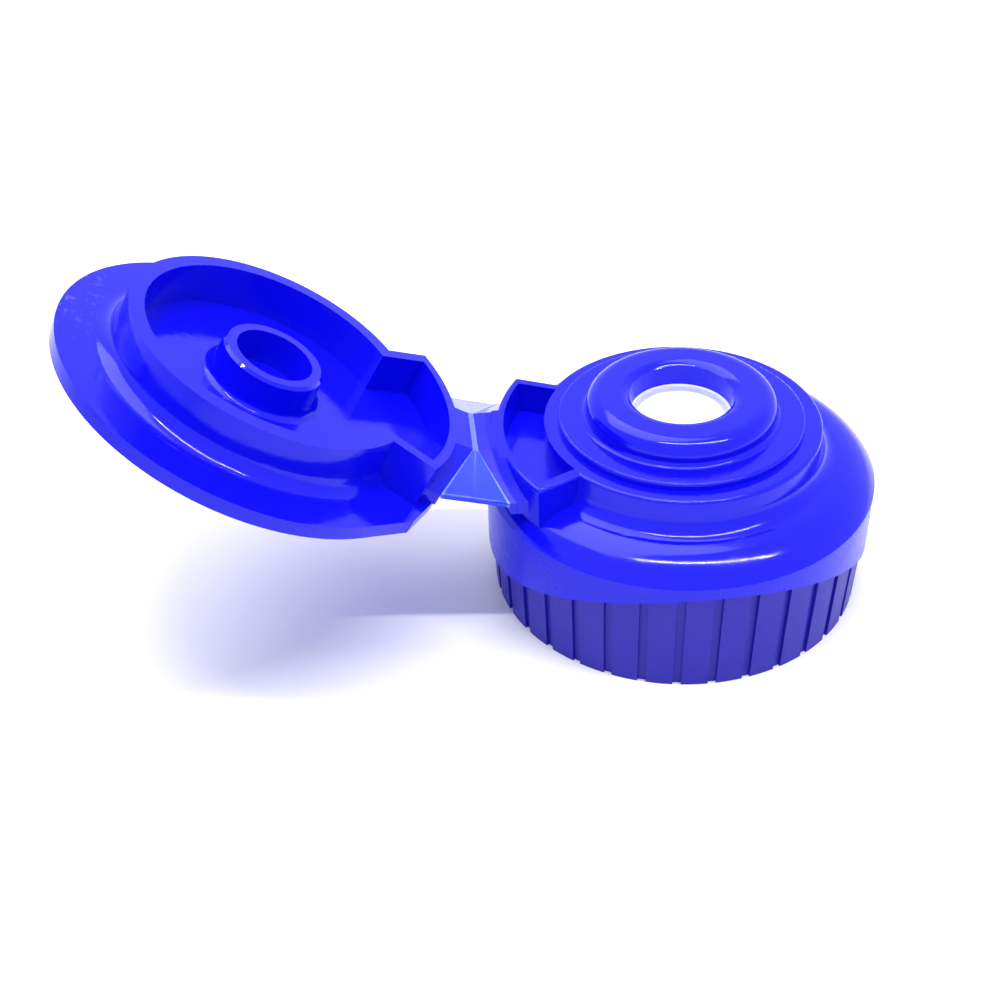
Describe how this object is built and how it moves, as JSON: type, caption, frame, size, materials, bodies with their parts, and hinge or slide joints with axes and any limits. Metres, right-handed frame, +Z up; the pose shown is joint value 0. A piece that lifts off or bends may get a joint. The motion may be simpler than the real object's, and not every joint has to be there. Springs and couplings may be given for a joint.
{
  "type": "flip top cap",
  "caption": "Flip top dispensing cap with a ribbed skirt, raised nozzle, silicone valve and a lid on a butterfly hinge.",
  "frame": {"origin": "on the neck axis at the foot of the skirt", "axes": "+Z up along the neck axis, the hinge towards -X, the lid swings about +Y"},
  "size_m": [0.0845, 0.0428, 0.0405],
  "materials": {
    "closure_plastic": "semi-gloss ultramarine polypropylene",
    "lid_plastic": "semi-gloss ultramarine polypropylene",
    "hinge_film": "thin, slightly translucent polypropylene",
    "valve_silicone": "translucent white silicone",
    "retainer_plastic": "natural polypropylene"
  },
  "bodies": {
    "closure": {"cap_body": "closure_plastic", "silicone_valve": "valve_silicone", "valve_retainer": "retainer_plastic", "hinge_web": "hinge_film"},
    "lid": {"flip_lid": "lid_plastic"}
  },
  "joints": [
    {"name": "lid_hinge", "type": "hinge", "parent": "closure", "child": "lid", "pos_m": [-0.0226, 0, 0.02058], "axis": [0, 1, 0], "range_deg": [-25, 149.1], "deforming": ["hinge_web"]}
  ]
}
